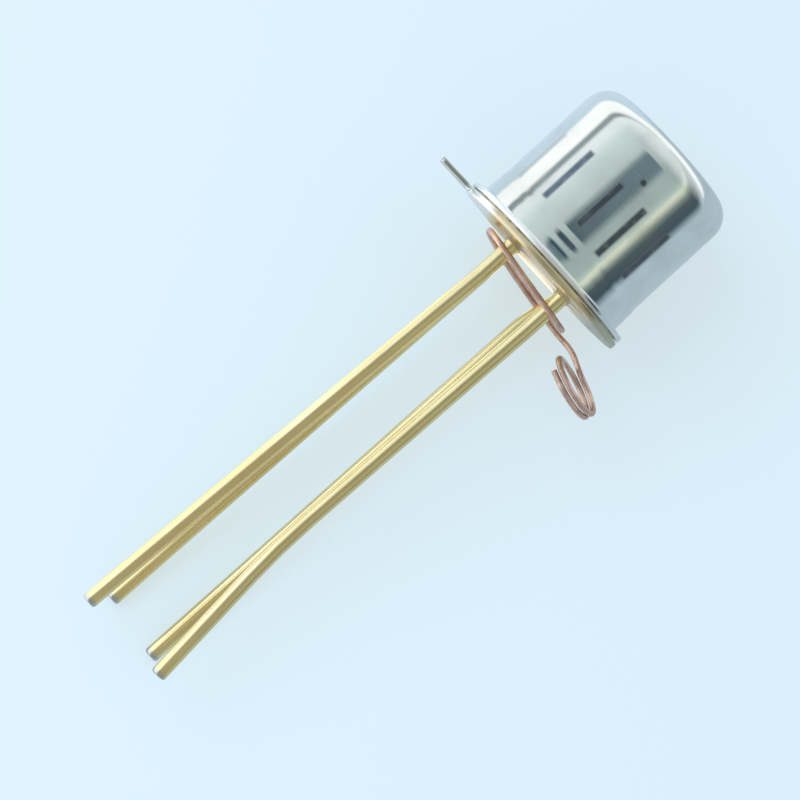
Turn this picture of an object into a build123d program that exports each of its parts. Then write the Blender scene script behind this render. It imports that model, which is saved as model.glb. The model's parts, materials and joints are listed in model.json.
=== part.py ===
from build123d import *
import math
import os

# Mosfet transistor in a round metal can with four wire leads, in millimetres.
# The local frame has X along the can's axis, towards the can's closed top, and x = 0 at the
# underside of the header. Y points along the index tab. Z is up as the part lies.
# A placement at the end lays every piece on the floor, on the flange and the lead tips.

# The can
CAP_D = 4.70
CAP_WALL = 0.18
CAP_TOP_T = 0.20
CAP_H = 4.165
CAP_EDGE_R = 0.70
CAP_FLANGE_OUT = 0.335
CAP_FLANGE_T = 0.14
CAP_ROOT_R = 0.10
FLANGE_BREAK = 0.025

# The header
HEADER_OVERHANG = 0.0
HEADER_FLANGE_T = 0.17
HEADER_BODY_H = 0.83
BODY_CLEARANCE = 0.15
BODY_BREAK = 0.05
TAB_T = 0.13
TAB_W = 0.95
TAB_OUT = 1.00
TAB_CORNER_R = 0.12

# The weld between the two flanges
WELD_GAP = 0.045
WELD_FROM_RIM = 0.145
WELD_W = 0.12

# The leads, on a circle round the can's axis, 45 degrees each side of the tab
LEAD_D = 0.41
LEAD_CIRCLE_D = 2.54
LEAD_CHAMFER = 0.04
POST_H = 0.42
POST_HEAD_D = 0.58
POST_HEAD_T = 0.08

# How each lead runs below the header: lengths, and shifts towards or away from the tab
BEND_X = 1.15
BEND_R = 3.0
DRAIN_LENGTH = 13.89
DRAIN_SHIFT = 0.59
GATE_LENGTH = 13.86
GATE_SPLAY_X = 9.50
GATE_SPLAY_R = 20.0
GATE_SHIFT = 0.21
GATE_SPLAY = 0.34
SOURCE_LENGTH = 13.75
SOURCE_ROOT_X = 0.14
SOURCE_ROOT_R = 0.8
SOURCE_ROOT_SHIFT = 0.18
SOURCE_SHIFT = 0.34
CASE_LENGTH = 13.50
CASE_SHIFT = 0.27
CASE_DROP = 0.03

# The glass beads
BEAD_D = 0.92
BEAD_RISE = 0.03

# The weld collar of the case lead
COLLAR_W = 0.12
COLLAR_H = 0.11

# The chip, its solder and its pads
DIE_W = 0.50
DIE_T = 0.15
SOLDER_MARGIN = 0.03
SOLDER_T = 0.015
PAD_W = 0.12
PAD_T = 0.01
PAD_MARGIN = 0.04

# The bond wires
BOND_D = 0.035
BOND_BALL_D = 0.09
BOND_BALL_T = 0.03
BOND_RISE = 0.34
BOND_R = 0.20

# The most that each short straight step turns, where a fine wire bends
BEND_STEP = 36.0
BOND_STEP = 48.0

# The shorting wire's turns round the leads
WIRE_D = 0.15
WIRE_TO_LEAD = 0.0
TURN_ABOVE = 0.45
TURN_BELOW = 0.40
TURN_R = 0.52
TURN_X = 0.385
TURN_SLOPE = 0.12
TURN_STEP_X = 0.065
TURN_GAP = 0.01
FREE_END_Y = 0.34
CROSS_FROM_Y = 0.84
CROSS_TO_Y = 0.36
CROSS_R = 0.30

# The shorting wire's tail and pull ring
TAIL_X = 0.69
TAIL_Y = 2.07
TAIL_Z = 1.15
TAIL_R = 0.40
RING_X = 1.32
RING_Y = 2.76
RING_Z = 0.30
RING_LONG = 1.66
RING_WIDE = 1.00
RING_PITCH = 0.18
RING_LEAN = 15.0
RING_TILT = 70.0
RING_START = 105.0
RING_TURNS = 1.70

CAP_R = CAP_D / 2
CAP_BORE_R = CAP_R - CAP_WALL
CAP_FLANGE_R = CAP_R + CAP_FLANGE_OUT
HEADER_FLANGE_R = CAP_FLANGE_R + HEADER_OVERHANG
HEADER_BODY_R = CAP_BORE_R - BODY_CLEARANCE
HEADER_TOP_X = HEADER_FLANGE_T + HEADER_BODY_H
CAP_LOW_X = HEADER_FLANGE_T + WELD_GAP
STACK_X = CAP_LOW_X + CAP_FLANGE_T
CAP_TOP_X = STACK_X + CAP_H
LEAD_R = LEAD_D / 2
LEAD_OFF = LEAD_CIRCLE_D / 2 * math.cos(math.radians(45))
POST_X = HEADER_TOP_X + POST_H
POST_TOP_X = POST_X + POST_HEAD_T
DIE_X = HEADER_TOP_X + SOLDER_T
PAD_X = DIE_X + DIE_T
PAD_OFF = DIE_W / 2 - PAD_MARGIN - PAD_W / 2
TURN_Z = LEAD_OFF + LEAD_R + WIRE_TO_LEAD + WIRE_D / 2

# The leads' places across the can's axis, as Y and Z
DRAIN_AT = (LEAD_OFF, LEAD_OFF)
GATE_AT = (-LEAD_OFF, LEAD_OFF)
SOURCE_AT = (-LEAD_OFF, -LEAD_OFF)
CASE_AT = (LEAD_OFF, -LEAD_OFF)
SEALED = {"drain": DRAIN_AT, "gate": GATE_AT, "source": SOURCE_AT}


def corner_at(profile, x, y):
    """The profile's corner nearest to (x, y)."""
    return profile.vertices().sort_by_distance((x, y, 0))[0]


def turned(points):
    """The solid that a closed outline sweeps round the can's axis."""
    return revolve(make_face(Polyline(*points, close=True)), Axis.X)


def disc(x, length, diameter, y=0.0, z=0.0):
    """A round bar along X, from x to x + length."""
    bar = extrude(Plane.YZ * Circle(diameter / 2), length)
    return Pos(x, y, z) * bar


# The can and the header


def cap():
    """A drawn can with a turned-out flange and a closed top."""
    points = [
        (CAP_LOW_X, CAP_BORE_R),
        (CAP_LOW_X, CAP_FLANGE_R),
        (STACK_X, CAP_FLANGE_R),
        (STACK_X, CAP_R),
        (CAP_TOP_X, CAP_R),
        (CAP_TOP_X, 0),
        (CAP_TOP_X - CAP_TOP_T, 0),
        (CAP_TOP_X - CAP_TOP_T, CAP_BORE_R),
    ]
    profile = make_face(Polyline(*points, close=True))
    profile = fillet(corner_at(profile, CAP_TOP_X, CAP_R), CAP_EDGE_R)
    profile = fillet(corner_at(profile, CAP_TOP_X - CAP_TOP_T, CAP_BORE_R), CAP_EDGE_R - CAP_WALL)
    profile = chamfer(corner_at(profile, STACK_X, CAP_R), CAP_ROOT_R)
    profile = chamfer(corner_at(profile, CAP_LOW_X, CAP_BORE_R), CAP_ROOT_R)
    profile = chamfer(corner_at(profile, STACK_X, CAP_FLANGE_R), FLANGE_BREAK)
    profile = chamfer(corner_at(profile, CAP_LOW_X, CAP_FLANGE_R), FLANGE_BREAK)
    return revolve(profile, Axis.X)


def weld_ring():
    """The melted ridge that joins the can's flange to the header's flange."""
    outer = 2 * (CAP_FLANGE_R - WELD_FROM_RIM)
    ring = disc(HEADER_FLANGE_T, WELD_GAP, outer)
    return ring - disc(HEADER_FLANGE_T, WELD_GAP, outer - 2 * WELD_W)


def header():
    """A stamped disc with a flange, an index tab and a hole for each glass bead."""
    body = turned(
        [
            (0, 0),
            (0, HEADER_FLANGE_R - FLANGE_BREAK),
            (FLANGE_BREAK, HEADER_FLANGE_R),
            (HEADER_FLANGE_T - FLANGE_BREAK, HEADER_FLANGE_R),
            (HEADER_FLANGE_T, HEADER_FLANGE_R - FLANGE_BREAK),
            (HEADER_FLANGE_T, HEADER_BODY_R),
            (HEADER_TOP_X - BODY_BREAK, HEADER_BODY_R),
            (HEADER_TOP_X, HEADER_BODY_R - BODY_BREAK),
            (HEADER_TOP_X, 0),
        ]
    )
    body += tab()
    for y, z in SEALED.values():
        body -= disc(0, HEADER_TOP_X, BEAD_D, y, z)
    return body


def tab():
    """The index tab, a tongue pressed thinner than the flange, with rounded outer corners."""
    start = HEADER_FLANGE_R / 2 + LEAD_OFF / 2
    reach = HEADER_FLANGE_R + TAB_OUT
    blank = Plane.YZ * Pos((reach + start) / 2, 0) * Rectangle(reach - start, TAB_W)
    tongue = Pos(HEADER_FLANGE_T - TAB_T) * extrude(blank, TAB_T)
    outer = tongue.edges().filter_by(Axis.X).group_by(Axis.Y)[-1]
    return fillet(outer, TAB_CORNER_R)


# Round wires


def bent_run(arc, diameter):
    """The piece of a ring that follows an arc of a wire's path."""
    start = arc @ 0
    centre = arc.arc_center
    axis = (start - centre).cross(arc % 0)
    section = Plane(origin=start, z_dir=arc % 0) * Circle(diameter / 2)
    angle = math.degrees(arc.length / arc.radius)
    return revolve(section, Axis(centre, axis), angle)


def straight_run(line, diameter):
    """The round bar that follows a straight stretch of a wire's path."""
    section = Plane(origin=line @ 0, z_dir=line % 0) * Circle(diameter / 2)
    return extrude(section, line.length)


def round_wire(points, radii, diameter):
    """A round wire: straight runs between the points, joined by arcs of the radii."""
    path = FilletPolyline(*points, radius=radii)
    wire = None
    for edge in path.edges():
        straight = edge.geom_type == GeomType.LINE
        run = straight_run(edge, diameter) if straight else bent_run(edge, diameter)
        wire = run if wire is None else wire + run
    return wire


def stepped(points, radii, most):
    """The corners of a fine wire, with each bend cut into steps that turn this much at most."""
    path = FilletPolyline(*points, radius=radii)
    corners = [path @ 0]
    for edge in path.order_edges():
        straight = edge.geom_type == GeomType.LINE
        turn = 0 if straight else math.degrees(edge.length / edge.radius)
        steps = max(1, math.ceil(turn / most))
        corners += [edge @ (step / steps) for step in range(1, steps + 1)]
    return corners


def fine_wire(corners, diameter):
    """A thin round wire that runs straight from corner to corner, with mitred bends."""
    ways = [(end - start).normalized() for start, end in zip(corners, corners[1:])]
    last = len(ways) - 1
    wire = None
    for k, way in enumerate(ways):
        start = corners[k] - way * (diameter if k > 0 else 0)
        end = corners[k + 1] + way * (diameter if k < last else 0)
        section = Plane(origin=start, z_dir=way) * Circle(diameter / 2)
        run = extrude(section, (end - start).length)
        if k > 0:
            run = split(run, Plane(origin=corners[k], z_dir=way + ways[k - 1]), Keep.TOP)
        if k < last:
            run = split(run, Plane(origin=corners[k + 1], z_dir=way + ways[k + 1]), Keep.BOTTOM)
        wire = run if wire is None else wire + run
    return wire


# The leads and their seals


def lead(points, radii):
    """A lead along the points, with its cut end broken by a small chamfer."""
    wire = round_wire(points, radii, LEAD_D)
    tip = wire.edges().group_by(Axis.X)[0]
    return chamfer(tip, LEAD_CHAMFER)


def post(at):
    """The flattened inner end of a lead, where its bond wire is joined."""
    return disc(POST_X, POST_HEAD_T, POST_HEAD_D, *at)


def drain_run():
    """The drain lead leans out towards the tab."""
    y, z = DRAIN_AT
    points = [(POST_X, y, z), (-BEND_X, y, z), (-DRAIN_LENGTH, y + DRAIN_SHIFT, z)]
    return points, [BEND_R]


def gate_run():
    """The gate lead leans in and then splays out near its end."""
    y, z = GATE_AT
    inner = y + GATE_SHIFT
    points = [(POST_X, y, z), (-BEND_X, y, z)]
    points += [(-GATE_SPLAY_X, inner, z), (-GATE_LENGTH, inner - GATE_SPLAY, z)]
    return points, [BEND_R, GATE_SPLAY_R]


def source_run():
    """The source lead is pressed inwards at its root."""
    y, z = SOURCE_AT
    points = [(POST_X, y, z), (-SOURCE_ROOT_X, y, z)]
    points += [(-BEND_X, y + SOURCE_ROOT_SHIFT, z), (-SOURCE_LENGTH, y + SOURCE_SHIFT, z)]
    return points, [SOURCE_ROOT_R, BEND_R]


def case_run():
    """The case lead starts at the header's underside, where it is butt-welded."""
    y, z = CASE_AT
    points = [(0, y, z), (-BEND_X, y, z)]
    points += [(-CASE_LENGTH, y + CASE_SHIFT, z - CASE_DROP)]
    return points, [BEND_R]


def bead(at):
    """A glass bead fused between a lead and its hole, which climbs the lead a little."""
    low = -BEAD_RISE
    high = HEADER_TOP_X + BEAD_RISE
    outer = BEAD_D / 2
    sleeve = turned([(low, LEAD_R), (0, outer), (HEADER_TOP_X, outer), (high, LEAD_R)])
    return Pos(0, *at) * sleeve


def case_weld():
    """The collar of weld metal in the corner between the case lead and the header."""
    collar = turned([(-COLLAR_H, LEAD_R), (0, LEAD_R), (0, LEAD_R + COLLAR_W)])
    return Pos(0, *CASE_AT) * collar


# The chip and its bond wires


def square_plate(x, thickness, side, y=0.0, z=0.0):
    """A square plate that lies across the can's axis."""
    plate = extrude(Plane.YZ * Rectangle(side, side), thickness)
    return Pos(x, y, z) * plate


def pad_at(at):
    """A pad's place: in the chip's corner that is nearest to its lead."""
    y, z = at
    return math.copysign(PAD_OFF, y), math.copysign(PAD_OFF, z)


def bond(at):
    """A fine wire from a ball on the pad, over an arch, to the lead's flattened end."""
    pad_y, pad_z = pad_at(at)
    low = PAD_X + PAD_T
    ball = disc(low, BOND_BALL_T, BOND_BALL_D, pad_y, pad_z)
    top = POST_TOP_X + BOND_RISE
    points = [
        (low + BOND_BALL_T / 2, pad_y, pad_z),
        (top, pad_y, pad_z),
        (POST_TOP_X, *at),
    ]
    return ball + fine_wire(stepped(points, [BOND_R], BOND_STEP), BOND_D)


# The shorting wire


def turn_x(y, steps=0):
    """Where a slanting turn is along the can's axis, some steps further from the header."""
    return -TURN_X - steps * TURN_STEP_X + TURN_SLOPE * y


def turns():
    """One and a half loose turns round the leads, from the free end to the tail."""
    top = LEAD_OFF + LEAD_R + TURN_ABOVE
    bottom = -LEAD_OFF - LEAD_R - TURN_BELOW
    near = -TURN_Z
    far = near - WIRE_D - TURN_GAP
    return [
        ((turn_x(FREE_END_Y), FREE_END_Y, near), None),
        ((turn_x(bottom), bottom, near), TURN_R),
        ((turn_x(bottom, 1), bottom, TURN_Z), TURN_R),
        ((turn_x(top, 1), top, TURN_Z), TURN_R),
        ((turn_x(top, 1), top, near), TURN_R),
        ((turn_x(CROSS_FROM_Y, 1.5), CROSS_FROM_Y, near), CROSS_R),
        ((turn_x(CROSS_TO_Y, 2), CROSS_TO_Y, far), CROSS_R),
        ((turn_x(bottom, 2), bottom, far), TAIL_R),
        ((-TAIL_X, -TAIL_Y, -TAIL_Z), TAIL_R),
    ]


def ring():
    """The pull ring: a flat oval coil seen nearly edge-on, worked out corner by corner."""
    lean = math.radians(RING_LEAN)
    tilt = math.radians(RING_TILT)
    along = Vector(-math.sin(lean), -math.cos(lean), 0)
    side = Vector(math.cos(lean), -math.sin(lean), 0)
    across = side * math.cos(tilt) - Vector(0, 0, math.sin(tilt))
    out = along.cross(across)
    middle = Vector(-RING_X, -RING_Y, -RING_Z)
    corners = []
    for step in range(round(RING_TURNS * 360 / BEND_STEP) + 1):
        turn = step * BEND_STEP
        angle = math.radians(RING_START - turn)
        spot = middle + along * (RING_LONG / 2 * math.cos(angle))
        spot += across * (RING_WIDE / 2 * math.sin(angle))
        spot += out * (RING_PITCH * (RING_TURNS / 2 - turn / 360))
        corners.append(spot)
    return corners


def shorting_wire():
    """The bare copper wire that joins all four leads until the part is fitted."""
    coil = ring()
    marks = turns()
    points = [point for point, radius in marks] + coil[:1]
    radii = [radius for point, radius in marks if radius]
    return fine_wire(stepped(points, radii, BEND_STEP) + coil[1:], WIRE_D)


# The placement and the files


def resting_place(found):
    """The turn and move that lay the part on its flange and on its lower lead tips."""
    tip_x = -SOURCE_LENGTH + LEAD_CHAMFER
    tip_z = -LEAD_OFF - LEAD_R
    tilt = math.degrees(math.atan((tip_z + HEADER_FLANGE_R) / -tip_x))
    turn = Rot(0, -tilt, 0)
    boxes = [(turn * piece).bounding_box() for piece in found.values()]
    middle_x = (min(box.min.X for box in boxes) + max(box.max.X for box in boxes)) / 2
    middle_y = (min(box.min.Y for box in boxes) + max(box.max.Y for box in boxes)) / 2
    floor = min(box.min.Z for box in boxes)
    return Pos(-middle_x, -middle_y, -floor) * turn


def pieces():
    """Every piece in the local frame, by its name."""
    solder_w = DIE_W + 2 * SOLDER_MARGIN
    found = {
        "cap": cap(),
        "weld_ring": weld_ring(),
        "header": header(),
        "lead_drain": lead(*drain_run()) + post(DRAIN_AT),
        "lead_gate": lead(*gate_run()) + post(GATE_AT),
        "lead_source": lead(*source_run()) + post(SOURCE_AT),
        "lead_case": lead(*case_run()),
        "case_weld": case_weld(),
        "die": square_plate(DIE_X, DIE_T, DIE_W),
        "die_attach": square_plate(HEADER_TOP_X, SOLDER_T, solder_w),
        "shorting_wire": shorting_wire(),
    }
    for name, at in SEALED.items():
        found["bead_" + name] = bead(at)
        found["pad_" + name] = square_plate(PAD_X, PAD_T, PAD_W, *pad_at(at))
        found["bond_" + name] = bond(at)
    return found


os.makedirs("parts", exist_ok=True)
solids = pieces()
place = resting_place(solids)
for node, solid in solids.items():
    export_step(place * solid, "parts/" + node + ".step")
    print(node, round(solid.volume, 4))
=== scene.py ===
# %% [markdown]
# # A transistor in a round metal can
# The real object is a small drawn can, welded to a gold-plated header with four straight
# leads. A bare copper wire is wound round the leads and ends in a small pull ring. The solid
# model gives every place and size, and this script gives each piece its final surface.

import json
import math

import bmesh
import bpy
from mathutils import Matrix, Vector


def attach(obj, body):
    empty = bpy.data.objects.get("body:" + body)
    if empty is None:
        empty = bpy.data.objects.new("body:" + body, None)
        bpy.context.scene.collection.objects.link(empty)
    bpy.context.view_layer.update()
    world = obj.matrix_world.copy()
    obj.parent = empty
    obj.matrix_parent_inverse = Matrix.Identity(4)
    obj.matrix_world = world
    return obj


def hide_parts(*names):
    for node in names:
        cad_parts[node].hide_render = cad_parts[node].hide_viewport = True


PER_METRE = 1000  # millimetres in a metre
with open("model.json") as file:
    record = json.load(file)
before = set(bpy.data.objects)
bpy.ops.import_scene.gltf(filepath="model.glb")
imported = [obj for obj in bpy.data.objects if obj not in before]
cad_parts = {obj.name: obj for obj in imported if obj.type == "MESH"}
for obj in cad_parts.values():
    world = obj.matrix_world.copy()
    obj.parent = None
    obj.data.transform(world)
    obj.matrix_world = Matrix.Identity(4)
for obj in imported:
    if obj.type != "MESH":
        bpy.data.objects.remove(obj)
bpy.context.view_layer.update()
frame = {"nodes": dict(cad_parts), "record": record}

# %% [markdown]
# The part lies tilted on its flange and its lower lead tips. It is far easier to model along
# the can's own axis, so the pieces are made in a local frame in millimetres: x runs along the
# can towards its closed top, y points along the index tab, and z is up. One matrix takes each
# finished mesh to its place. The record's mount on the can's top gives that matrix.

# %% The local frame
CAN_TOP_X = 4.52
top_mount = next(m for m in frame["record"]["mounts"] if m["name"] == "can_top")
AXIS = Vector(top_mount["axis"]).normalized()
TAB_WAY = Vector((0, 1, 0))
UP = AXIS.cross(TAB_WAY)
ORIGIN = Vector(top_mount["pos_m"]) - AXIS * CAN_TOP_X / PER_METRE
PLACE = Matrix((AXIS, TAB_WAY, UP)).transposed().to_4x4()
PLACE.translation = ORIGIN
PLACE = PLACE @ Matrix.Scale(1 / PER_METRE, 4)
ALONG, TOWARDS_TAB, OUT = Vector((1, 0, 0)), Vector((0, 1, 0)), Vector((0, 0, 1))
print("axis raised by", round(math.degrees(math.asin(AXIS.z)), 2), "degrees")

# %% [markdown]
# The camera stands 143 mm above the part and looks down. It leans by less than a degree, so
# that the picture shows only a narrow strip of the header's underside. It is turned, so that
# the can points to the upper right. The lens follows from the width that the picture spans.

# %% The camera
VIEW_CENTRE = Vector((-4.76, -0.054, 0))
VIEW_DISTANCE = 143.0
VIEW_WIDTH = 20.05
VIEW_LEAN = math.radians(0.9)
VIEW_TURN = math.radians(42.5)
back = Vector((-math.sin(VIEW_LEAN), 0, math.cos(VIEW_LEAN)))
flat_axis = Vector((math.cos(VIEW_LEAN), 0, math.sin(VIEW_LEAN)))
right = flat_axis * math.cos(VIEW_TURN) - TOWARDS_TAB * math.sin(VIEW_TURN)
above = flat_axis * math.sin(VIEW_TURN) + TOWARDS_TAB * math.cos(VIEW_TURN)
to_world = PLACE.to_3x3().normalized()
camera_data = bpy.data.cameras.new("camera")
camera_data.sensor_width = 36  # millimetres
camera_data.lens = camera_data.sensor_width * VIEW_DISTANCE / VIEW_WIDTH
camera_data.clip_start = 0.005
camera = bpy.data.objects.new("camera", camera_data)
bpy.context.collection.objects.link(camera)
camera.matrix_world = (
    Matrix.Translation(PLACE @ (VIEW_CENTRE + back * VIEW_DISTANCE))
    @ Matrix((to_world @ right, to_world @ above, to_world @ back)).transposed().to_4x4()
)
bpy.context.scene.camera = camera
bpy.context.scene.view_settings.view_transform = "Standard"
print("lens:", round(camera_data.lens, 1), "mm")

# %% [markdown]
# ## Helpers for the pieces
# A piece starts as a bmesh in the local frame. When it is done, its doubles are merged, its
# faces are turned outwards, and the matrix takes it to its place, so that the object itself
# stays at the origin. Shading is smooth, apart from edges that turn by more than 38 degrees.

# %% Finish a mesh and hang it on the frame
MERGE = 1e-5
SHARP = math.radians(38)


def finish_piece(bm, name, material, slot, *nodes):
    """Turns a bmesh in the local frame into an object that stands for CAD nodes."""
    bmesh.ops.remove_doubles(bm, verts=bm.verts, dist=MERGE)
    bmesh.ops.recalc_face_normals(bm, faces=bm.faces)
    bm.transform(PLACE)
    mesh = bpy.data.meshes.new(name)
    bm.to_mesh(mesh)
    bm.free()
    for face in mesh.polygons:
        face.use_smooth = True
    mesh.set_sharp_from_angle(angle=SHARP)
    mesh.materials.append(material)
    piece = bpy.data.objects.new(name, mesh)
    bpy.context.collection.objects.link(piece)
    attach(piece, "root")
    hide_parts(*nodes)
    mesh.calc_loop_triangles()
    print(name, len(mesh.loop_triangles), "triangles")
    return piece


# %% [markdown]
# Most of the pieces are turned: a closed outline is spun round the can's axis. A full spin
# with use_merge joins its last step to its first. An outline that reaches the axis leaves
# loose edges there, which are deleted.

# %% Spin an outline


def spin_outline(outline, steps):
    """A body of revolution round the x axis from a closed outline of (x, radius) corners."""
    bm = bmesh.new()
    corners = [bm.verts.new((x, radius, 0)) for x, radius in outline]
    edges = [bm.edges.new((a, b)) for a, b in zip(corners, corners[1:] + corners[:1])]
    bmesh.ops.spin(
        bm,
        geom=corners + edges,
        cent=(0, 0, 0),
        axis=ALONG,
        angle=2 * math.pi,
        steps=steps,
        use_merge=True,
    )
    bmesh.ops.remove_doubles(bm, verts=bm.verts, dist=MERGE)
    thin = [e for e in bm.edges if not e.link_faces]
    bmesh.ops.delete(bm, geom=thin, context="EDGES")
    return bm


# %% [markdown]
# The corners of the outline are rings of edges on the turned body. A ring is found by its
# place along the axis and its radius, and a bevel rounds it. The profile of 0.5 makes the
# bevel a true arc.

# %% Round edges


def ring_edges(bm, x, radius):
    """The edges of the ring that lies at x, at this radius."""
    found = []
    for edge in bm.edges:
        spots = [(v.co.x, math.hypot(v.co.y, v.co.z)) for v in edge.verts]
        if all(abs(a - x) < 1e-4 and abs(b - radius) < 1e-3 for a, b in spots):
            found.append(edge)
    return found


def soften(bm, edges, size, segments):
    """Rounds any edges that it is given."""
    bmesh.ops.bevel(
        bm,
        geom=edges,
        offset=size,
        offset_type="OFFSET",
        segments=segments,
        profile=0.5,
        affect="EDGES",
        material=-1,
    )


def round_ring(bm, x, radius, size, segments):
    """Rounds the edge of a turned body at x and this radius."""
    soften(bm, ring_edges(bm, x, radius), size, segments)


# %% [markdown]
# ## Helpers for the finishes
# A finish is a network of nodes. Written out by hand, a network is long and hard to read, so
# one small class wraps a socket and lets plain arithmetic add the Math nodes. Two masks are
# used again and again: between rises smoothly from 0 to 1, and within marks a band.

# %% A socket that does arithmetic


class Signal:
    """A socket, on which Python operators add Math nodes."""

    def __init__(self, finish, socket):
        self.finish = finish
        self.socket = socket

    def math(self, operation, *others):
        values = dict(enumerate((self, *others)))
        return self.finish.node("ShaderNodeMath", {"operation": operation}, values)

    def __add__(self, other):
        return self.math("ADD", other)

    def __sub__(self, other):
        return self.math("SUBTRACT", other)

    def __mul__(self, other):
        return self.math("MULTIPLY", other)

    def __truediv__(self, other):
        return self.math("DIVIDE", other)

    def __rsub__(self, other):
        return self.finish.node("ShaderNodeMath", {"operation": "SUBTRACT"}, {0: other, 1: self})

    __radd__ = __add__
    __rmul__ = __mul__

    def other(self, name):
        """Another output of the node that this socket belongs to."""
        return Signal(self.finish, self.socket.node.outputs[name])

    def dot(self, way):
        settings = {"operation": "DOT_PRODUCT"}
        return self.finish.node("ShaderNodeVectorMath", settings, {0: self, 1: way}, "Value")

    def between(self, low, high):
        """0 below low, 1 above high, and a smooth rise between them."""
        settings = {"interpolation_type": "SMOOTHSTEP"}
        values = {"Value": self, "From Min": low, "From Max": high}
        return self.finish.node("ShaderNodeMapRange", settings, values)

    def within(self, middle, half, soft):
        """1 where the value is within half of the middle, with soft edges."""
        away = (self - middle).math("ABSOLUTE")
        return 1 - away.between(half - soft, half + soft)


# %% [markdown]
# The second class holds the network itself. Its one method adds any node, and short methods
# cover the nodes that come up most. A finish reads the object coordinates, turned into the
# same local millimetres as the shapes, so a worn patch sits where it was meant to.

# %% A finish and its nodes


class Finish:
    """A network of nodes, and one method that adds any node to it."""

    def __init__(self, name, owner=None):
        self.owner = owner or bpy.data.materials.new(name)
        self.owner.use_nodes = True
        self.tree = self.owner.node_tree
        self.tree.nodes.clear()

    def node(self, kind, settings=None, values=None, output=0):
        """Adds a node, sets its settings first, then its sockets, and gives one output."""
        made = self.tree.nodes.new(kind)
        for key, value in (settings or {}).items():
            if key == "stops":
                self.stops(made.color_ramp, value)
            else:
                setattr(made, key, value)
        for key, value in (values or {}).items():
            if isinstance(value, Signal):
                self.tree.links.new(value.socket, made.inputs[key])
            else:
                made.inputs[key].default_value = value
        return Signal(self, made.outputs[output]) if made.outputs else None

    def stops(self, ramp, stops):
        """Gives a colour ramp its stops."""
        while len(ramp.elements) < len(stops):
            ramp.elements.new(0.5)
        for element, (place, colour) in zip(ramp.elements, stops):
            element.position = place
            element.color = colour

    def mix(self, factor, first, second):
        """A colour that goes from the first to the second as the factor rises."""
        values = {0: factor, 6: first, 7: second}
        return self.node("ShaderNodeMix", {"data_type": "RGBA"}, values, 2)

    def noise(self, scale, detail=3.0, roughness=0.5, stretch=None):
        """Noise on object coordinates: scale is in features per millimetre."""
        place = self.local(stretch) if stretch else self.spot
        values = {"Vector": place, "Scale": scale, "Detail": detail, "Roughness": roughness}
        return self.node("ShaderNodeTexNoise", {}, values)

    def local(self, stretch):
        """Local coordinates in millimetres, each multiplied by its stretch."""
        parts = dict(zip("XYZ", (self.x * stretch[0], self.y * stretch[1], self.z * stretch[2])))
        return self.node("ShaderNodeCombineXYZ", {}, parts)

    def read_place(self):
        """Local x, y and z in millimetres, from the object coordinates."""
        spot = self.node("ShaderNodeTexCoord", {}, {}, "Object")
        away = self.node("ShaderNodeVectorMath", {"operation": "SUBTRACT"}, {0: spot, 1: ORIGIN})
        self.x, self.y, self.z = (away.dot(way * PER_METRE) for way in (AXIS, TAB_WAY, UP))
        self.spot = self.tint(away, [PER_METRE] * 3)

    def tint(self, colour, shares):
        """A colour or a vector with each of its parts multiplied by a share."""
        values = {0: colour, 1: tuple(shares)}
        return self.node("ShaderNodeVectorMath", {"operation": "MULTIPLY"}, values)

    def bump(self, height, distance):
        return self.node("ShaderNodeBump", {}, {"Height": height, "Distance": distance})

    def close(self, **values):
        """Ends the material with one Principled shader and gives the material back."""
        named = {key.replace("_", " "): value for key, value in values.items()}
        shader = self.node("ShaderNodeBsdfPrincipled", {}, named)
        self.node("ShaderNodeOutputMaterial", {}, {"Surface": shader})
        return self.owner


def rgb(*parts):
    """A colour as the eye reads it, 0 to 255, turned into the light that shaders use."""
    dim = [c / 255 for c in parts]
    light = [((c + 0.055) / 1.055) ** 2.4 if c > 0.04045 else c / 12.92 for c in dim]
    return (*light, 1.0)


# %% [markdown]
# ## The nickel of the can
# Five ink bars and a dot are printed round the can's wall. A picture could hold them, but it
# would need a UV map and would blur up close. Masks stay sharp at any size: a bar is a band
# along the local x, times a band across it. The way across is measured along the wall, as
# the angle round the axis times the can's radius.

# %% The ink
INK_BARS = [  # degrees round the axis, middle and length along it, and how much ink is left
    (60, 1.95, 1.60, 0.30),
    (32, 2.05, 1.64, 0.95),
    (4, 2.10, 1.50, 1.0),
    (-17, 2.02, 1.64, 1.0),
    (-41, 2.10, 1.55, 0.9),
]
INK_WIDTH, INK_EDGE = 0.19, 0.05
INK_DOT_ANGLE, INK_DOT_X = -4, 3.25
CAN_R = 2.35


def round_wall(f, degrees):
    """How far a point of the can's wall lies from a line at these degrees, in millimetres."""
    angle = f.node("ShaderNodeMath", {"operation": "ARCTAN2"}, {0: f.y, 1: f.z})
    return (angle - math.radians(degrees)) * CAN_R


def ink_mask(f):
    across, along = round_wall(f, INK_DOT_ANGLE), f.x - INK_DOT_X
    ink = 1 - (across * across + along * along).math("SQRT").between(0.05, 0.13)
    for degrees, middle, length, left in INK_BARS:
        bar = round_wall(f, degrees).within(0, INK_WIDTH / 2, INK_EDGE)
        bar = bar * f.x.within(middle, length / 2, INK_EDGE) * left
        ink = ink.math("MAXIMUM", bar)
    return ink


print("ink:", len(INK_BARS), "bars and a dot")

# %% [markdown]
# Drawn nickel is bright and nearly white. It is never a perfect mirror: the drawing die leaves
# very fine lines along the wall, handling adds short scratches, and the sheet has a faint
# ripple. The colour is almost even, so most of the work is in the roughness and in a small
# bump. The wall is a little duller above the die's steps. On the side away from the tab the
# flange is matt and painted near white, a painted highlight. Noise wears the ink thin.

# %% Nickel with worn ink


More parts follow.
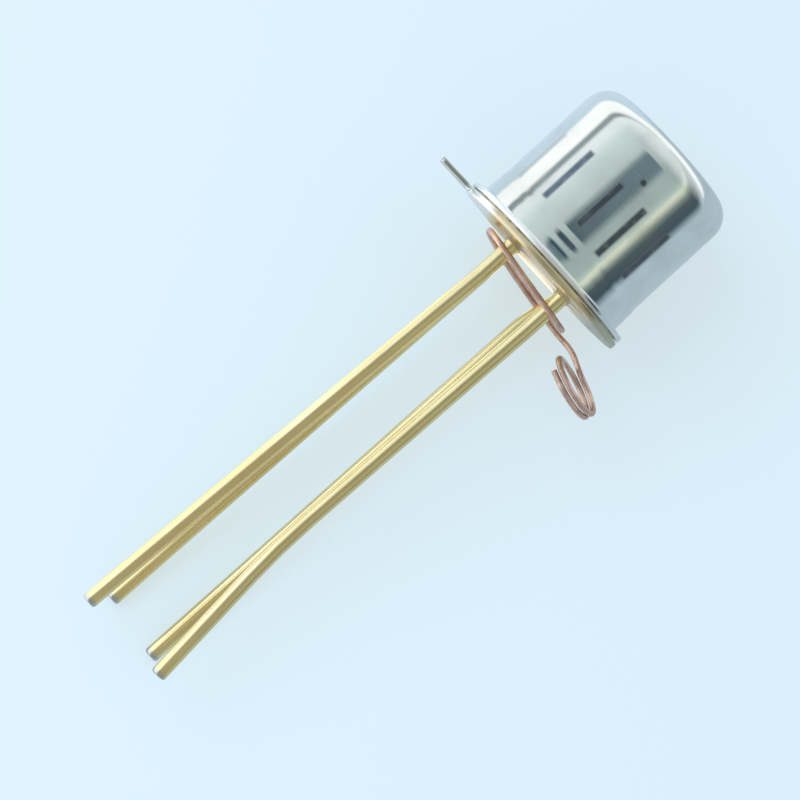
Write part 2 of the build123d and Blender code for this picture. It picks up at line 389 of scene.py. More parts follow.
def can_nickel():
    f = Finish("can_nickel")
    f.read_place()
    ripple = f.noise(0.55, 2.0, 0.5, (0.5, 1, 1))
    drawn = f.noise(9.0, 3.0, 0.6, (0.06, 1, 1))
    scratch = f.noise(14.0, 2.0, 0.5, (1.0, 0.10, 0.10))
    haze = f.noise(0.8, 4.0, 0.6)
    radius = (f.y * f.y + f.z * f.z).math("SQRT")
    outside = radius.between(CAN_R - 0.12, CAN_R - 0.06)
    # The flange on the side away from the tab: matt, and painted near white as a painted highlight.
    rim = radius.between(2.45, 2.60) * f.y.between(-1.4, -0.7)
    worn = 0.88 + 0.12 * f.noise(4.0, 3.0, 0.6).between(0.30, 0.55)
    ink = ink_mask(f) * worn * outside
    clean = f.mix(haze.between(0.35, 0.70), rgb(232, 237, 236), rgb(220, 225, 222))
    # Painted highlight on the flange away from the tab.
    clean = f.mix(rim, clean, rgb(250, 252, 250))
    colour = f.mix(ink, clean, rgb(90, 102, 110))
    rough = 0.05 + 0.04 * f.x.between(0.9, 1.6) + 0.05 * haze.between(0.4, 0.7)
    height = 0.5 * ripple + 0.035 * drawn - 0.01 * scratch.between(0.60, 0.72)
    return f.close(
        Base_Color=colour,
        Metallic=1.0,
        Roughness=rough + ink * 0.25 + rim * 0.32,
        Normal=f.bump(height, 0.00002),
    )


NICKEL = can_nickel()
print("finish:", NICKEL.name)

# %% [markdown]
# ## Gold plating
# The header and the leads are plated with a thin layer of gold. The plating follows every
# mark of the metal below it, so it looks satin, and it is paler than solid gold. On the
# header's underside the gold is warm round the roots of the leads. On the underside's half
# towards the tab it is warm as painted light from the tab's side, and elsewhere it is pale
# cream, a painted reflection. Nearer the tab the gold is painted near white, a painted
# highlight. Across from the tab it is painted grey, a painted dark reflection. On the tab it
# is grey. Each of these is a mask on the local coordinates, and one mix after another lays
# their tones over the plain gold.

# %% The header's gold
LEAD_OFF = 1.27 * math.sqrt(0.5)  # from the axis, along y and along z


def header_gold():
    f = Finish("header_gold")
    f.read_place()
    patches = f.noise(1.2, 3.0, 0.5)
    speck = f.noise(9.0, 3.0, 0.6).between(0.66, 0.76)
    radius = (f.y * f.y + f.z * f.z).math("SQRT")
    under = (1 - f.x.between(0.0, 0.02)) * (1 - radius.between(2.60, 2.66))
    side, up = f.y.math("ABSOLUTE") - LEAD_OFF, f.z.math("ABSOLUTE") - LEAD_OFF
    root = 1 - (side * side + up * up).math("SQRT").between(0.45, 0.80)
    # Warm round the lead roots; on the underside's half towards the tab the warmth is painted light
    # from the tab's side.
    thick = root.math("MAXIMUM", f.y.between(0.7, 1.3))
    painted_highlight_by_tab, painted_dark_reflection_across_tab = f.y.between(1.65, 2.0), (0 - f.y).between(1.4, 2.0)
    tab = f.y.between(2.68, 2.82)
    colour = f.mix(patches.between(0.35, 0.68), rgb(230, 214, 174), rgb(216, 198, 156))
    # Pale cream on the rest of the underside is a painted reflection.
    warm = f.mix(thick, rgb(252, 240, 204), rgb(236, 200, 112))
    colour = f.mix(under, colour, warm)
    # Painted highlight: near white towards the tab.
    colour = f.mix(painted_highlight_by_tab * 0.95, colour, rgb(250, 251, 246))
    # Painted dark reflection: grey across from the tab.
    colour = f.mix(painted_dark_reflection_across_tab * 0.7, colour, rgb(168, 174, 160))
    colour = f.mix(tab * 0.85, colour, rgb(176, 180, 172))
    colour = f.mix(speck * 0.25, colour, rgb(150, 124, 80))
    return f.close(
        Base_Color=colour,
        Metallic=1.0,
        Roughness=0.24 + 0.06 * patches + under * 0.06 + speck * 0.08,
        Normal=f.bump(patches, 0.000004),
    )


HEADER_GOLD = header_gold()
print("finish:", HEADER_GOLD.name)

# %% [markdown]
# The leads were drawn through a die, so their fine lines run lengthwise. Handling has dulled
# them in patches and left a few darker specks. Where a lead was cut to length the plating is
# gone and grey metal shows: the mesh carries each point's distance from the tip, and the
# finish reads that attribute.

# %% The leads' gold


def lead_gold():
    f = Finish("lead_gold")
    f.read_place()
    patches = f.noise(0.9, 3.0, 0.5, (0.35, 1, 1))
    fine = f.noise(16.0, 2.0, 0.5, (0.05, 1, 1))
    speck = f.noise(7.0, 3.0, 0.7).between(0.68, 0.78)
    settings = {"attribute_name": "from_tip", "attribute_type": "GEOMETRY"}
    from_tip = f.node("ShaderNodeAttribute", settings, {}, "Fac")
    bare = 1 - from_tip.between(0.05, 0.22)
    colour = f.mix(patches.between(0.35, 0.68), rgb(248, 231, 172), rgb(240, 220, 156))
    colour = f.mix(speck * 0.30, colour, rgb(150, 122, 76))
    colour = f.mix(bare * 0.9, colour, rgb(196, 201, 198))
    return f.close(
        Base_Color=colour,
        Metallic=1.0,
        Roughness=0.24 + 0.05 * patches.between(0.45, 0.75) + speck * 0.10,
        Normal=f.bump(fine * 0.2 + patches * 0.5, 0.000003),
    )


LEAD_GOLD = lead_gold()
print("finish:", LEAD_GOLD.name)

# %% [markdown]
# ## The other metals
# The weld between the flanges is dull. The shorting wire is bare copper that has been handled:
# it has gone pale and a little grey, with darker patches. The solder under the chip, the pads
# on it and its fine gold wires differ only in colour, gloss and grain, so one function with
# those few values makes them all.

# %% Weld metal, copper and the small inner metals


def plain_metal(name, light, dark, roughness, grain, depth):
    f = Finish(name)
    f.read_place()
    cloud = f.noise(grain * 0.3, 3.0, 0.6)
    fine = f.noise(grain, 3.0, 0.6)
    return f.close(
        Base_Color=f.mix(cloud.between(0.32, 0.68), light, dark),
        Metallic=1.0,
        Roughness=roughness + 0.12 * cloud.between(0.35, 0.75),
        Normal=f.bump(fine, depth),
    )


WELD = plain_metal("weld_metal", rgb(216, 210, 190), rgb(184, 176, 152), 0.42, 12.0, 0.000008)
COPPER = plain_metal("wire_copper", rgb(240, 212, 200), rgb(206, 174, 162), 0.34, 8.0, 0.000003)
SOLDER = plain_metal("chip_solder", rgb(196, 178, 140), rgb(160, 142, 108), 0.35, 14.0, 0.000003)
ALUMINIUM = plain_metal("pad_aluminium", rgb(226, 228, 230), rgb(206, 208, 212), 0.22, 30.0, 0.000001)
BOND_GOLD = plain_metal("bond_gold", rgb(244, 214, 130), rgb(226, 190, 104), 0.16, 30.0, 0.000001)
print("finishes:", ", ".join(m.name for m in (WELD, COPPER, SOLDER, ALUMINIUM, BOND_GOLD)))

# %% [markdown]
# ## Glass and silicon
# The beads are sealing glass. It is cloudy, so only a little light passes, and its colour is
# painted the warm grey of the metal round it, a painted reflection of that metal. The chip is
# polished silicon: dark, blue-grey and glossy, with a faint pattern of cells, which two crossed
# sine waves give.

# %% Sealing glass and the chip
CELLS = 120  # radians of the cell pattern in a millimetre


def sealing_glass():
    f = Finish("bead_glass")
    f.read_place()
    cloud = f.noise(2.5, 3.0, 0.5)
    return f.close(
        # Painted reflection: the glass is coloured like the warm metal round it.
        Base_Color=f.mix(cloud.between(0.3, 0.7), rgb(206, 190, 146), rgb(172, 158, 118)),
        Roughness=0.22 + 0.08 * cloud,
        Transmission_Weight=0.3,
        IOR=1.5,
    )


def silicon():
    f = Finish("silicon")
    f.read_place()
    cells = (f.y * CELLS).math("SINE") * (f.z * CELLS).math("SINE")
    return f.close(
        Base_Color=f.mix(cells.between(-0.4, 0.4), rgb(74, 78, 96), rgb(104, 104, 118)),
        Metallic=0.3,
        Roughness=0.14 + 0.05 * f.noise(20.0),
    )


GLASS = sealing_glass()
SILICON = silicon()
print("finishes:", GLASS.name, SILICON.name)

# %% [markdown]
# ## The can
# The real can is drawn from thin sheet: a straight wall, a flange turned out at the open end
# and a softly rounded closed end. It could be made from a cylinder with loop cuts, but a
# turned outline with a true bevel on each ring keeps every radius exact. Two very shallow
# steps near the flange are what the die leaves. They are far too small to see as shapes, but
# each tilts the mirror a little, and shows as a short dark bar.

# %% Turn the can
CAN_SIDES = 160
FLANGE_R = 2.685
CAN_LOW_X, CAN_FLANGE_X = 0.215, 0.355
WALL, TOP_T, EDGE_R, ROOT_R, RIM_R = 0.18, 0.20, 0.70, 0.06, 0.03
BORE_R = CAN_R - WALL
STEP_1, STEP_2 = (0.65, 0.81), (0.97, 1.12)  # where each step begins and ends
STEP_SOFT = 0.03
BASE_R, MIDDLE_R = CAN_R + 0.040, CAN_R + 0.025
can = spin_outline(
    [
        (CAN_LOW_X, BORE_R),
        (CAN_LOW_X, FLANGE_R),
        (CAN_FLANGE_X, FLANGE_R),
        (CAN_FLANGE_X, BASE_R),
        (STEP_1[0], BASE_R),
        (STEP_1[1], MIDDLE_R),
        (STEP_2[0], MIDDLE_R),
        (STEP_2[1], CAN_R),
        (CAN_TOP_X, CAN_R),
        (CAN_TOP_X, 0),
        (CAN_TOP_X - TOP_T, 0),
        (CAN_TOP_X - TOP_T, BORE_R),
    ],
    CAN_SIDES,
)
round_ring(can, CAN_TOP_X, CAN_R, EDGE_R, 14)
round_ring(can, CAN_TOP_X - TOP_T, BORE_R, EDGE_R - WALL, 8)
round_ring(can, CAN_FLANGE_X, BASE_R, ROOT_R, 6)
round_ring(can, CAN_LOW_X, BORE_R, ROOT_R, 4)
for rim_x in (CAN_LOW_X, CAN_FLANGE_X):
    round_ring(can, rim_x, FLANGE_R, RIM_R, 3)
for step_x, step_r in zip(STEP_1 + STEP_2, (BASE_R, MIDDLE_R, MIDDLE_R, CAN_R)):
    round_ring(can, step_x, step_r, STEP_SOFT, 2)
finish_piece(can, "can", NICKEL, "can_nickel", "cap")

# %% [markdown]
# ## The header
# The header is stamped in one piece: a disc with a flange, a tab to show which way round the
# part goes, and three holes for the glass. It could be a cylinder with holes cut by a Boolean.
# Drawing the outlines flat and pushing them up is surer, because nothing has to be
# intersected. Two helpers do that, and the leads use them too.

# %% Draw a circle and push faces


def circle(bm, radius, steps, y=0.0, z=0.0, x=0.0):
    """A ring of points across the x axis; gives its edges."""
    turn = Matrix.Translation((x, y, z)) @ Matrix.Rotation(math.pi / 2, 4, "Y")
    made = bmesh.ops.create_circle(bm, cap_ends=False, radius=radius, segments=steps, matrix=turn)
    return list({edge for vert in made["verts"] for edge in vert.link_edges})


def push(bm, faces, distance, way=ALONG):
    """Extrudes faces by a distance and gives the faces that moved."""
    made = bmesh.ops.extrude_face_region(bm, geom=faces)["geom"]
    verts = [item for item in made if isinstance(item, bmesh.types.BMVert)]
    bmesh.ops.translate(bm, verts=verts, vec=way * distance)
    return [item for item in made if isinstance(item, bmesh.types.BMFace)]


# %% [markdown]
# The flange is a ring between two circles. The body is filled between the inner circle and
# the three holes. Both are pushed up together by the flange's thickness, and then the body
# alone to its full height.

# %% Build the header
LEAD_R = 0.205
PLACES = {  # each lead's y and z
    "drain": (LEAD_OFF, LEAD_OFF),
    "gate": (-LEAD_OFF, LEAD_OFF),
    "source": (-LEAD_OFF, -LEAD_OFF),
    "case": (LEAD_OFF, -LEAD_OFF),
}
SEALED = ("drain", "gate", "source")
FLANGE_T, BODY_TOP_X, BODY_R, BEAD_R = 0.17, 1.00, 2.02, 0.46
HEADER_SIDES, HOLE_SIDES = 176, 48


def distance_out(face):
    """How far a face's middle is from the can's axis."""
    return face.calc_center_median().yz.length


def build_header():
    bm = bmesh.new()
    rim = circle(bm, FLANGE_R, HEADER_SIDES)
    inner = circle(bm, BODY_R, HEADER_SIDES)
    flange = bmesh.ops.bridge_loops(bm, edges=rim + inner)["faces"]
    holes = [edge for name in SEALED for edge in circle(bm, BEAD_R, HOLE_SIDES, *PLACES[name])]
    filled = bmesh.ops.triangle_fill(bm, use_beauty=True, edges=inner + holes)["geom"]
    body = [item for item in filled if isinstance(item, bmesh.types.BMFace)]
    top = push(bm, flange + body, FLANGE_T)
    push(bm, [f for f in top if distance_out(f) < BODY_R - 0.02], BODY_TOP_X - FLANGE_T)
    return bm


header = build_header()
print("header disc:", len(header.faces), "faces")

# %% [markdown]
# The tab grows in two pushes. The first is short, and its lower points are lifted there to the
# tab's own thickness, because the tab is thinner than the flange. After the second, the end
# is scaled flat, so that it is cut straight across and no longer follows the round rim.

# %% Pull out the tab
TAB_END_Y, TAB_T, TAB_CORNER_R = 3.685, 0.13, 0.12
TAB_FACES = 10
TAB_ROOT = 0.04  # how far the tab grows before it narrows to its own thickness


def angle_from_tab(face):
    centre = face.calc_center_median()
    return abs(math.atan2(centre.z, centre.y))


bmesh.ops.recalc_face_normals(header, faces=header.faces)
tab_reach = (TAB_FACES / 2 - 0.4) * 2 * math.pi / HEADER_SIDES
side = [f for f in header.faces if abs(f.normal.x) < 0.1 and distance_out(f) > FLANGE_R - 0.01]
grown = push(header, [f for f in side if angle_from_tab(f) < tab_reach], TAB_ROOT, TOWARDS_TAB)
for vert in {vert for face in grown for vert in face.verts}:
    vert.co.x = max(vert.co.x, FLANGE_T - TAB_T)
grown = push(header, grown, 1.0, TOWARDS_TAB)
end = list({vert for face in grown for vert in face.verts})
bmesh.ops.scale(header, vec=(1, 0, 1), verts=end)
bmesh.ops.translate(header, verts=end, vec=TOWARDS_TAB * TAB_END_Y)
corner_z = max(v.co.z for v in end)
print("tab is", round(corner_z - min(v.co.z for v in end), 3), "mm wide")

# %% [markdown]
# Stamping leaves no truly sharp edge. The tab's two free corners get a wide round, and then
# the rims of the flange and the tab a narrow one. Those are the sharp edges that lie across
# the axis: an edge along the axis is only a step of the round outline, and stays.

# %% Round its corners and rims
NEARLY = 1e-4


def at_tab_corner(spot):
    return spot.y > TAB_END_Y - NEARLY and abs(spot.z) > corner_z - NEARLY


def is_rim(edge):
    first, last = (vert.co for vert in edge.verts)
    outside = min(first.yz.length, last.yz.length) > FLANGE_R - 0.02
    across = abs(first.x - last.x) < 0.01
    return outside and across and len(edge.link_faces) == 2 and edge.calc_face_angle(0) > 1.2


corners = [edge for edge in header.edges if all(at_tab_corner(vert.co) for vert in edge.verts)]
soften(header, corners, TAB_CORNER_R, 5)
soften(header, [edge for edge in header.edges if is_rim(edge)], RIM_R, 3)
finish_piece(header, "header_plate", HEADER_GOLD, "header_gold", "header")

# %% [markdown]
# ## The glass seals
# Each sealed lead passes through a bead of glass that was melted in the hole. Liquid glass
# wets both metals, so its surface curves up the lead. A turned outline with a few steps of
# that curve makes the shape.

# %% Turn the beads
CLIMB = [  # how high the glass stands, from the lead out to the metal
    (0.090, LEAD_R),
    (0.058, 0.222),
    (0.034, 0.255),
    (0.016, 0.310),
    (0.005, 0.385),
    (0.0, BEAD_R),
]


def build_bead(name):
    outline = [(-rise, radius) for rise, radius in CLIMB]
    outline += [(BODY_TOP_X + rise, radius) for rise, radius in reversed(CLIMB)]
    bm = spin_outline(outline, HOLE_SIDES)
    bmesh.ops.translate(bm, verts=bm.verts, vec=(0, *PLACES[name]))
    return finish_piece(bm, "glass_" + name, GLASS, "bead_glass", "bead_" + name)


for name in SEALED:
    build_bead(name)

# %% [markdown]
# ## The leads
# A lead is a straight wire that has been nudged a little by hand. Its route is given by its
# corners and a radius at each, as the solid model has it, and the lengths and angles are
# worked out from those.

# %% The routes of the leads
POST_X, BEND_X, BEND_R = 1.42, 1.15, 3.0


def shifted(name, *corners):
    """Corners at (x, shift in y, shift in z) from a lead's place on the header."""
    y, z = PLACES[name]
    return [Vector((x, y + dy, z + dz)) for x, dy, dz in corners]


ROUTES = {
    "drain": (shifted("drain", (POST_X, 0, 0), (-BEND_X, 0, 0), (-13.89, 0.59, 0)), [BEND_R]),
    "gate": (
        shifted("gate", (POST_X, 0, 0), (-BEND_X, 0, 0), (-9.50, 0.21, 0), (-13.86, -0.13, 0)),
        [BEND_R, 20.0],
    ),
    "source": (
        shifted("source", (POST_X, 0, 0), (-0.14, 0, 0), (-BEND_X, 0.18, 0), (-13.75, 0.34, 0)),
        [0.8, BEND_R],
    ),
    "case": (shifted("case", (0, 0, 0), (-BEND_X, 0, 0), (-13.50, 0.27, -0.03)), [BEND_R]),
}
print("leads:", ", ".join(ROUTES))

# %% [markdown]
# Each lead is pushed out from a disc, as a die would draw it. Straight runs are extruded, and
# each bend is a short spin of the end face round the inside of the bend. A curve with a bevel
# would be less work, but its bends only come close to a true arc.

# %% Bend a lead
BEND_STEP = 3  # degrees


def bend(bm, faces, spot, way, next_way, radius):
    """Spins the end face round the inside of a bend, and gives the new end face."""
    axis = way.cross(next_way).normalized()
    angle = way.angle(next_way)
    centre = spot + axis.cross(way).normalized() * radius
    made = bmesh.ops.spin(
        bm,
        geom=faces,
        cent=centre,
        axis=axis,
        angle=angle,
        steps=max(2, math.ceil(math.degrees(angle) / BEND_STEP)),
    )["geom_last"]
    bmesh.ops.delete(bm, geom=faces, context="FACES_ONLY")
    return [item for item in made if isinstance(item, bmesh.types.BMFace)]


# %% [markdown]
# A sealed lead ends in a wider flat head on the inside, where its fine gold wire is bonded.
# The head is the end face, widened and pushed on. At the other end the finish has to know
# where the cut is, so every point stores how far from the tip it lies.

# %% The head and the tip
HEAD_R, HEAD_T = 0.29, 0.08


def widen_head(bm, middle):
    """Gives the inner end of a sealed lead its flat head."""
    start = max(bm.faces, key=lambda face: face.calc_center_median().x)
    bmesh.ops.inset_individual(bm, faces=[start], thickness=0)
    wider = (1, HEAD_R / LEAD_R, HEAD_R / LEAD_R)
    bmesh.ops.scale(bm, vec=wider, verts=start.verts, space=Matrix.Translation(-middle))
    push(bm, [start], HEAD_T, ALONG)


def measure_from_tip(bm):
    """Stores each point's distance from the tip, for the bare metal of the cut."""
    tip_x = min(v.co.x for v in bm.verts)
    from_tip = bm.verts.layers.float.new("from_tip")
    for vert in bm.verts:
        vert[from_tip] = vert.co.x - tip_x


# %% [markdown]
# A lead is then a walk from corner to corner. A straight run stops short of its corner by the
# bend's radius times the tangent of half the turn, and the next run starts as far behind it.
# The tip is cut square, and its edge is rounded.

# %% Build the leads
LEAD_SIDES = 36
TIP_R = 0.07


def build_lead(name):
    corners, radii = ROUTES[name]
    ways = [(b - a).normalized() for a, b in zip(corners, corners[1:])]
    bm = bmesh.new()
    ring = circle(bm, LEAD_R, LEAD_SIDES, corners[0].y, corners[0].z, corners[0].x)
    faces = bmesh.ops.contextual_create(bm, geom=ring)["faces"]
    spot = corners[0].copy()
    for k, way in enumerate(ways):
        cut = 0.0
        if k < len(radii):
            cut = radii[k] * math.tan(way.angle(ways[k + 1]) / 2)
        length = (corners[k + 1] - spot).length - cut
        faces = push(bm, faces, length, way)
        spot += way * length
        if k < len(radii):
            faces = bend(bm, faces, spot, way, ways[k + 1], radii[k])
            spot = corners[k + 1] + ways[k + 1] * cut
    soften(bm, list(faces[0].edges), TIP_R, 3)
    cut_end = min(bm.faces, key=lambda face: face.calc_center_median().x)
    bmesh.ops.poke(bm, faces=[cut_end])
    if name in SEALED:
        widen_head(bm, corners[0])
    measure_from_tip(bm)
    return finish_piece(bm, name + "_lead", LEAD_GOLD, "lead_gold", "lead_" + name)


for name in PLACES:
    build_lead(name)

# %% [markdown]
# The case lead has no glass: it is butt-welded to the underside, and a small collar of weld
# metal stays round its root. It was plated together with the header, so it has its gold.

# %% Turn the weld collar
COLLAR = [  # how far the weld hangs below the metal, and how thick it is round the lead
    (0.110, 0.0),
    (0.085, 0.012),
    (0.045, 0.035),
    (0.014, 0.075),
    (0.0, 0.12),
    (0.0, 0.0),
]
collar = spin_outline([(-drop, LEAD_R + thick) for drop, thick in COLLAR], 40)
bmesh.ops.translate(collar, verts=collar.verts, vec=(0, *PLACES["case"]))
finish_piece(collar, "weld_collar", HEADER_GOLD, "weld_metal", "case_weld")

# %% [markdown]
# ## The shorting wire
# A soft copper wire joins all four leads, so that no charge can harm the chip before it is
# fitted. It goes behind the leads, round the front and behind them again, and then runs out
# to a pull ring. It has no sharp corners anywhere, so a NURBS curve suits it: its control
# points are the corners of the route, and it rounds them by itself. The turns slant a little,
# and each lies a step further from the header than the one before.

# %% The turns round the leads
WIRE_R = 0.075
NEAR = LEAD_OFF + LEAD_R + WIRE_R  # the wire's z where it touches the leads
FAR = NEAR + 2 * WIRE_R + 0.01  # and where it crosses over its own first turn
HIGH_Y, LOW_Y = LEAD_OFF + LEAD_R + 0.45, -LEAD_OFF - LEAD_R - 0.40
TURN_X, TURN_STEP, TURN_SLOPE = -0.385, 0.065, 0.12


def slant(y, steps=0.0):
    """Where a slanting turn lies along the axis, some steps further from the header."""
    return TURN_X - steps * TURN_STEP + TURN_SLOPE * y


WIRE_TURNS = [
    (slant(0.62), 0.62, -NEAR),
    (slant(-0.4), -0.4, -NEAR),
    (slant(LOW_Y), LOW_Y, -NEAR),
    (slant(LOW_Y, 0.5), LOW_Y, 0.0),
    (slant(LOW_Y, 1), LOW_Y, NEAR),
    (slant(-0.32, 1), -0.32, NEAR),
    (slant(0.37, 1), 0.37, NEAR),
    (slant(HIGH_Y, 1), HIGH_Y, NEAR),
    (slant(HIGH_Y, 0.7), HIGH_Y, 0.0),
    (slant(HIGH_Y, 0.5), HIGH_Y, -NEAR),
    (slant(1.02, 1.5), 1.02, -NEAR),
    (slant(0.55, 2), 0.55, -FAR),
    (slant(-0.6, 2), -0.6, -FAR),
    (slant(LOW_Y, 2), LOW_Y, -FAR),
    (-0.69, -2.07, -1.15),
]
print("turns:", len(WIRE_TURNS), "control points")

# %% [markdown]
# The pull ring is an oval coil of nearly two turns, seen nearly edge-on, so it is worked out
# by a loop: each step turns a little further and climbs by its share of the pitch.

# %% The pull ring
RING_MIDDLE = Vector((-1.32, -2.76, -0.30))
RING_LEAN, RING_TILT = math.radians(15), math.radians(70)
RING_LONG, RING_WIDE, RING_PITCH, RING_TURNS = 1.66, 1.00, 0.18, 1.70
RING_START, RING_STEP = 105, 30  # degrees


def ring_route():
    """The control points of the pull ring."""
    along = Vector((-math.sin(RING_LEAN), -math.cos(RING_LEAN), 0))
    beside = Vector((math.cos(RING_LEAN), -math.sin(RING_LEAN), 0))
    across = beside * math.cos(RING_TILT) - OUT * math.sin(RING_TILT)
    out = along.cross(across)
    route = []
    for step in range(round(RING_TURNS * 360 / RING_STEP) + 1):
        angle = math.radians(RING_START - step * RING_STEP)
        spot = RING_MIDDLE + along * RING_LONG / 2 * math.cos(angle)
        spot += across * RING_WIDE / 2 * math.sin(angle)
        spot += out * RING_PITCH * (RING_TURNS / 2 - step * RING_STEP / 360)
        route.append(spot)
    return route


wire_route = [Vector(p) for p in WIRE_TURNS] + ring_route()
print("wire:", len(wire_route), "control points")

# %% [markdown]
# A curve with a bevel depth is a tube. The number of control points has to be set before the
# order, or the order stays at 2 and the wire gets straight runs. The tube is turned into a
# mesh, so that it can be placed like the other pieces, and the curve is thrown away.

# %% Lay the wire
wire_curve = bpy.data.curves.new("wire_route", "CURVE")
wire_curve.dimensions = "3D"
wire_curve.bevel_depth = WIRE_R
wire_curve.bevel_resolution = 7
wire_curve.use_fill_caps = True
wire_curve.resolution_u = 10
spline = wire_curve.splines.new("NURBS")
spline.points.add(len(wire_route) - 1)
for point, spot in zip(spline.points, wire_route):
    point.co = (*spot, 1)
spline.order_u = 3
spline.use_endpoint_u = True
wire_holder = bpy.data.objects.new("wire_route", wire_curve)
wire_mesh = bpy.data.meshes.new_from_object(wire_holder)
wire = bmesh.new()
wire.from_mesh(wire_mesh)
bpy.data.objects.remove(wire_holder)
bpy.data.meshes.remove(wire_mesh)
bpy.data.curves.remove(wire_curve)
finish_piece(wire, "copper_wire", COPPER, "wire_copper", "shorting_wire")

# %% [markdown]
# ## The pieces that stay as they are
# The weld ring and everything on the header inside the sealed can already have the right
# shape. They keep their solids and only get their finishes.

# %% Finishes for the carried-over pieces
KEPT = {"weld_ring": WELD, "die": SILICON, "die_attach": SOLDER}
for name in SEALED:
    KEPT["pad_" + name] = ALUMINIUM
    KEPT["bond_" + name] = BOND_GOLD
for name, material in KEPT.items():
    mesh = frame["nodes"][name].data
    mesh.materials.clear()
    mesh.materials.append(material)
print("carried over:", ", ".join(sorted(KEPT)))

# %% [markdown]
# ## Floor and light
# The part lies on a plain pale blue sheet. What mirror rays see there is made apart from what
# the camera sees, because metal shows little colour of its own: what the eye reads as nickel
# or gold is what the metal mirrors. They see a field of pale tones, which is white on the
# tab's side, far ahead of the can and just below the header.

# %% What the metal sees in the floor
HEADER_X = PER_METRE * ORIGIN.x


def mirrored_floor(f, spot):
    """What the metal sees in the floor: a blue-grey field with white areas."""
    x = spot.dot(ALONG * PER_METRE) - HEADER_X
    y = spot.dot(TOWARDS_TAB * PER_METRE)
    can = x.between(-2.0, 0.5)
    beside = (y - 6.0 * can).between(1.8, 4.2)
    ahead = (x + HEADER_X - 0.8 * y.math("ABSOLUTE")).between(14.0, 24.0)
    below = x.within(-0.1, 0.5, 0.08) * y.within(-0.1, 1.0, 0.5)
    white = beside.math("MAXIMUM", ahead).math("MAXIMUM", below)
    field = f.mix(y.between(0.0, 3.5), rgb(186, 203, 214), rgb(212, 232, 246))
    field = f.mix(white, field, rgb(255, 255, 255))
    strength = 1 + white * (0.4 - can * 0.2)
    return f.node("ShaderNodeEmission", {}, {"Color": field, "Strength": strength})


# %% [markdown]
# The camera sees the sheet as a sum of two: a share that takes light and shadow, and an even
# glow for the rest, so the shadow stays as faint as on a sheet that is lit from all round.
# The share is smallest for red, which makes the shadow a little warm. All other rays, which
# only carry light from the sheet to the part, meet a plain matt surface.

# %% The sheet
SHADOW_SHARE = (0.22, 0.36, 0.48)  # of red, green and blue


def floor_finish():
    f = Finish("floor_sheet")
    spot = f.node("ShaderNodeTexCoord", {}, {}, "Object")
    # Painted shade: the sheet is a shade darker towards one corner, for light that falls off across
    # it.
    painted_falloff = spot.dot(Vector((0.7, -0.7, 0)) * PER_METRE).between(-12, 12)
    colour = f.mix(painted_falloff, rgb(220, 242, 255), rgb(217, 238, 250))
    sheet = f.node("ShaderNodeBsdfPrincipled", {}, {"Base Color": colour, "Roughness": 0.9})
    shaded = f.tint(colour, SHADOW_SHARE)
    glow = f.tint(colour, [1 - share for share in SHADOW_SHARE])
    shaded = f.node("ShaderNodeBsdfPrincipled", {}, {"Base Color": shaded, "Roughness": 0.9})
    glow = f.node("ShaderNodeEmission", {}, {"Color": glow, "Strength": 1.0})
    seen = f.node("ShaderNodeAddShader", {}, {0: shaded, 1: glow})
    mirrored = mirrored_floor(f, spot)
    path = f.node("ShaderNodeLightPath")
    camera_ray, glossy_ray = path.other("Is Camera Ray"), path.other("Is Glossy Ray")
    first = f.node("ShaderNodeMixShader", {}, {0: camera_ray, 1: sheet, 2: seen})
    second = f.node("ShaderNodeMixShader", {}, {0: glossy_ray, 1: first, 2: mirrored})
    f.node("ShaderNodeOutputMaterial", {}, {"Surface": second})
    return f.owner


FLOOR_HALF, FLOOR_DROP = 0.25, 0.00002  # metres
floor_mesh = bmesh.new()
bmesh.ops.create_grid(floor_mesh, x_segments=1, y_segments=1, size=FLOOR_HALF)
bmesh.ops.translate(floor_mesh, verts=floor_mesh.verts, vec=(0, 0, -FLOOR_DROP))
floor_data = bpy.data.meshes.new("floor")
floor_mesh.to_mesh(floor_data)
floor_mesh.free()
floor_data.materials.append(floor_finish())
floor = bpy.data.objects.new("floor", floor_data)
bpy.context.collection.objects.link(floor)
print("floor:", 2 * FLOOR_HALF, "m wide")

# %% [markdown]
# The world is for mirror rays too. A photographer would stand white and dark cards round the
# part, and here a colour ramp gives their tones by the angle round the can's axis: 0 is
# straight up, and positive degrees are on the side away from the tab. Everything else sees an
# even white, and the camera sees plain pale blue.

# %% The tones round the part
BANDS = [  # degrees round the can's axis, and the tone there
    (-180, (255, 255, 255)),
    (-91, (255, 255, 255)),
    (-88, (150, 162, 166)),
    (-82, (150, 162, 166)),
    (-78, (252, 255, 255)),
    (-67, (241, 252, 252)),
    (-55, (220, 233, 232)),
    (-24, (198, 210, 208)),
    (14, (170, 186, 184)),
    (36, (174, 188, 185)),
    (43, (188, 204, 196)),
    (47, (228, 234, 214)),
    (51, (218, 222, 202)),
    (57, (140, 152, 142)),
    (64, (80, 95, 100)),
    (79, (70, 86, 96)),
    (87, (150, 170, 178)),
    (92, (186, 203, 214)),
    (180, (186, 203, 214)),
]


def ramp_round(f, degrees):
    stops = [((place + 180) / 360, rgb(*tone)) for place, tone in BANDS]
    return f.node("ShaderNodeValToRGB", {"stops": stops}, {"Fac": degrees / 360 + 0.5}, "Color")


print("bands:", len(BANDS), "stops")

# %% [markdown]
# Along the axis there are three zones. Far ahead, where only the rounded end of the can
# looks, the bands fade to white. Straight above, a dark card with a darker near edge makes
# the broad dark field on the wall, and its near edge is what the two small steps mirror.
# Behind the header's plane, where the leads look, there are only two tones: a bright pale
# blue, and a grey card over them that gives each lead its dark line.

# %% The world


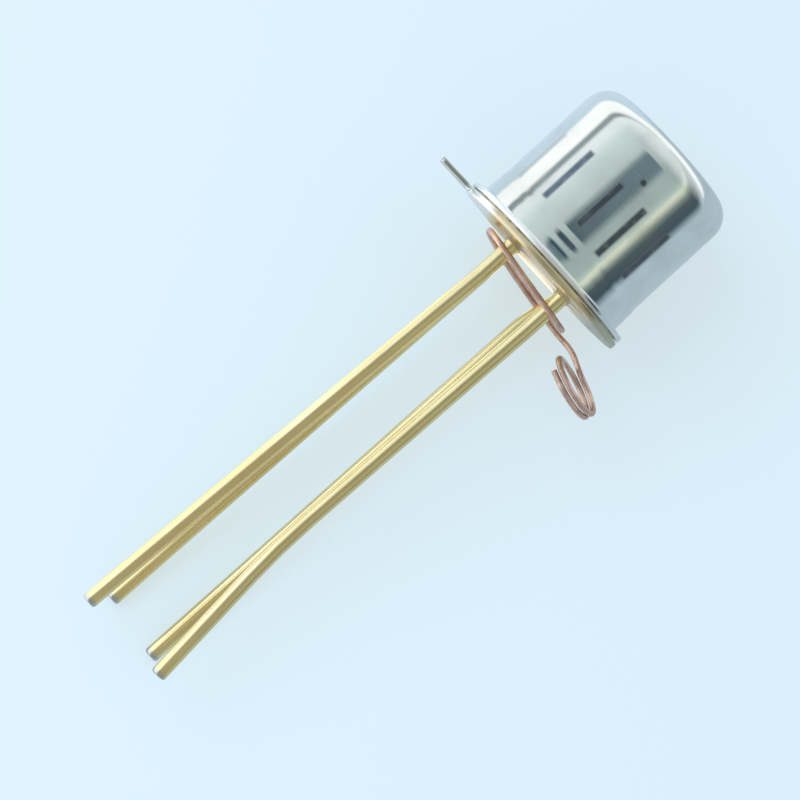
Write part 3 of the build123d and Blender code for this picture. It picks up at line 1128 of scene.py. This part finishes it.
def mirrored_world(f):
    """What the metal sees of the world: bands, a dark card, and two tones for the leads."""
    way = f.node("ShaderNodeTexCoord", {}, {}, "Generated")
    x, y, z = (way.dot(direction) for direction in (AXIS, TAB_WAY, UP))
    turn = f.node("ShaderNodeMath", {"operation": "ARCTAN2"}, {0: 0 - y, 1: z})
    degrees = turn * (180 / math.pi)
    tones = f.mix(x.between(0.3, 1.0) * 0.7, ramp_round(f, degrees), rgb(250, 255, 255))
    card = x.within(0.045, 0.14, 0.03) * degrees.within(-3, 17 - 5 * x.between(0.12, 0.19), 6)
    dark = f.mix(x.between(0.098, 0.112), rgb(62, 80, 90), rgb(112, 131, 139))
    tones = f.mix(card, tones, dark)
    behind = 1 - x.between(0.025, 0.055)
    over = degrees.within(32, 61, 10)
    near = x.between(-0.35, -0.20)
    bright = f.mix(near, rgb(255, 255, 255), rgb(207, 221, 255))
    tones = f.mix(behind, tones, f.mix(over, bright, rgb(168, 168, 166)))
    strength = 1 + behind * (1 - over) * (0.45 + 0.55 * near)
    return f.node("ShaderNodeBackground", {}, {"Color": tones, "Strength": strength})


def studio_world():
    world = bpy.data.worlds.new("studio")
    bpy.context.scene.world = world
    f = Finish("studio", world)
    path = f.node("ShaderNodeLightPath")
    camera_ray, glossy_ray = path.other("Is Camera Ray"), path.other("Is Glossy Ray")
    soft = f.node("ShaderNodeBackground", {}, {"Color": rgb(255, 255, 255), "Strength": 0.84})
    mirrored = mirrored_world(f)
    plain_back = f.node("ShaderNodeBackground", {}, {"Color": rgb(219, 240, 253), "Strength": 1.0})
    first = f.node("ShaderNodeMixShader", {}, {0: glossy_ray, 1: soft, 2: mirrored})
    second = f.node("ShaderNodeMixShader", {}, {0: camera_ray, 1: first, 2: plain_back})
    f.node("ShaderNodeOutputWorld", {}, {"Surface": second})


studio_world()
print("world:", bpy.context.scene.world.name)

# %% [markdown]
# One large round lamp stands to the upper left of the camera. It is hidden from mirror rays,
# so that it adds a soft shadow to the floor and no bright spot to the metal.

# %% The lamp
lamp_data = bpy.data.lights.new("key", "AREA")
lamp_data.shape = "DISK"
lamp_data.size = 0.22
lamp_data.energy = 0.26
lamp_data.color = (0.97, 0.99, 1.0)
lamp = bpy.data.objects.new("key", lamp_data)
lamp.visible_glossy = False
lamp_spot = PLACE @ (VIEW_CENTRE - right * 110 + above * 150 + back * 230)
lamp.matrix_world = Matrix.Translation(lamp_spot) @ (
    lamp_spot - PLACE @ VIEW_CENTRE
).to_track_quat("Z", "Y").to_matrix().to_4x4()
bpy.context.collection.objects.link(lamp)
print("lamp:", lamp_data.energy, "W")
